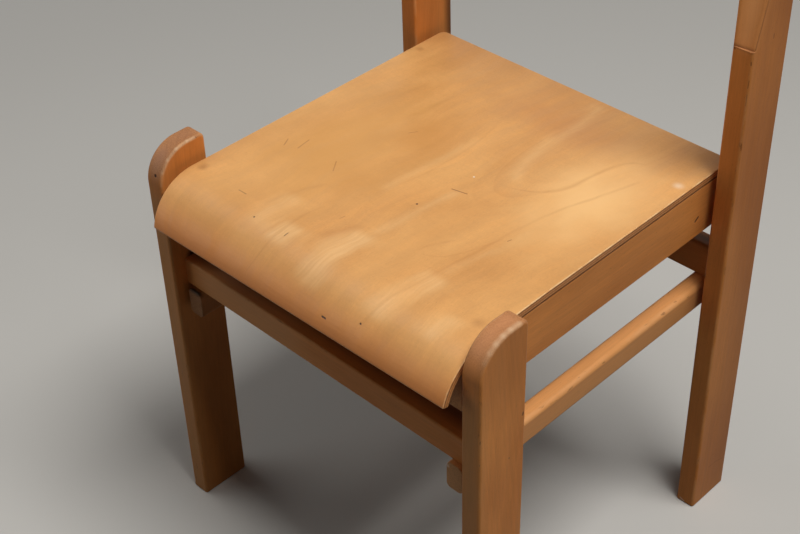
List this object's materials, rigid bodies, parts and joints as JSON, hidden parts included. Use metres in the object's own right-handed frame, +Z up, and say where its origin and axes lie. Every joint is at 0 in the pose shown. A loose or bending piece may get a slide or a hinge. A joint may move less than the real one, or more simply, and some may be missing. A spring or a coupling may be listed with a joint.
{
  "type": "choir chair",
  "caption": "Upright wooden choir chair with board legs, a plywood seat that rolls down at the front, side rails and stretchers clear of the legs, and a low backrest.",
  "frame": {"origin": "on the floor, in the middle of the chair's width and of its depth", "axes": "+Z up, +X to the right of someone who stands in front of the chair, +Y to the back; the chair faces -Y"},
  "size_m": [0.4484, 0.4481, 0.765],
  "materials": {
    "beech": "lacquered beech, honey brown, worn satin",
    "plywood": "lacquered beech plywood, honey orange, satin",
    "pale_beech": "bare turned beech",
    "steel": "bright zinc-plated steel"
  },
  "bodies": {
    "root": {"front_leg_right": "beech", "front_leg_left": "beech", "rear_leg_right": "beech", "rear_leg_left": "beech", "side_rail_right": "beech", "side_rail_left": "beech", "stretcher_right": "beech", "stretcher_left": "beech", "front_cross_rail": "beech", "rear_cross_rail": "beech", "seat_panel": "plywood", "backrest_panel": "plywood", "stretcher_pin_front_right": "pale_beech", "slot_dowel_front_right_lower": "pale_beech", "slot_dowel_front_right_upper": "pale_beech", "stretcher_pin_rear_right": "pale_beech", "slot_dowel_rear_right_lower": "pale_beech", "slot_dowel_rear_right_upper": "pale_beech", "seat_screw_right_front": "steel", "seat_screw_right_middle": "steel", "seat_screw_right_rear": "steel", "backrest_screw_right_lower": "steel", "backrest_screw_right_upper": "steel", "stretcher_pin_front_left": "pale_beech", "slot_dowel_front_left_lower": "pale_beech", "slot_dowel_front_left_upper": "pale_beech", "stretcher_pin_rear_left": "pale_beech", "slot_dowel_rear_left_lower": "pale_beech", "slot_dowel_rear_left_upper": "pale_beech", "seat_screw_left_front": "steel", "seat_screw_left_middle": "steel", "seat_screw_left_rear": "steel", "backrest_screw_left_lower": "steel", "backrest_screw_left_upper": "steel"}
  },
  "joints": []
}
